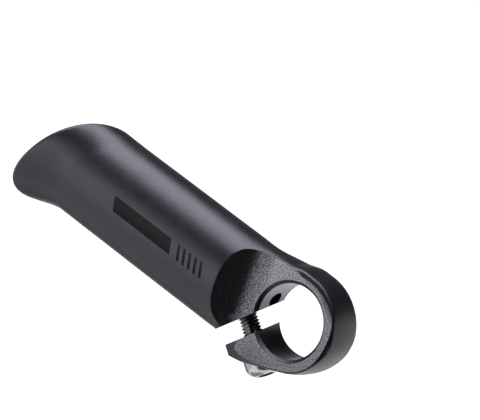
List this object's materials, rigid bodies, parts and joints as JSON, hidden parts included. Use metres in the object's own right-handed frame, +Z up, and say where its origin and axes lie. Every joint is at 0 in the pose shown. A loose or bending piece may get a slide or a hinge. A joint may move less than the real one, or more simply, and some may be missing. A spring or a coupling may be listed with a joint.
{
  "type": "bicycle bar end",
  "caption": "Right-hand bicycle bar end: a forged oval horn with a split clamp ring that grips the end of a handlebar and is closed by a socket screw.",
  "frame": {"origin": "centre of the clamp bore, on its axis and midway between the two machined faces of the clamp", "axes": "+X points outboard along the handlebar, +Y runs along the horn to its tip, +Z is up"},
  "size_m": [0.0274, 0.118, 0.0381],
  "materials": {
    "black_anodised": "bead blasted and anodised matte black; the clamp's inboard face and bore are machined",
    "stainless": "plain stainless socket screw"
  },
  "bodies": {
    "bar_end": {"bar_end_body": "black_anodised"},
    "screw": {"clamp_screw": "stainless"}
  },
  "joints": [
    {"name": "clamp_screw_turn", "type": "hinge", "parent": "bar_end", "child": "screw", "pos_m": [0, 0.01005, -0.01334], "axis": [0, 0.7986, 0.6018], "range_deg": [-630, 270]}
  ]
}
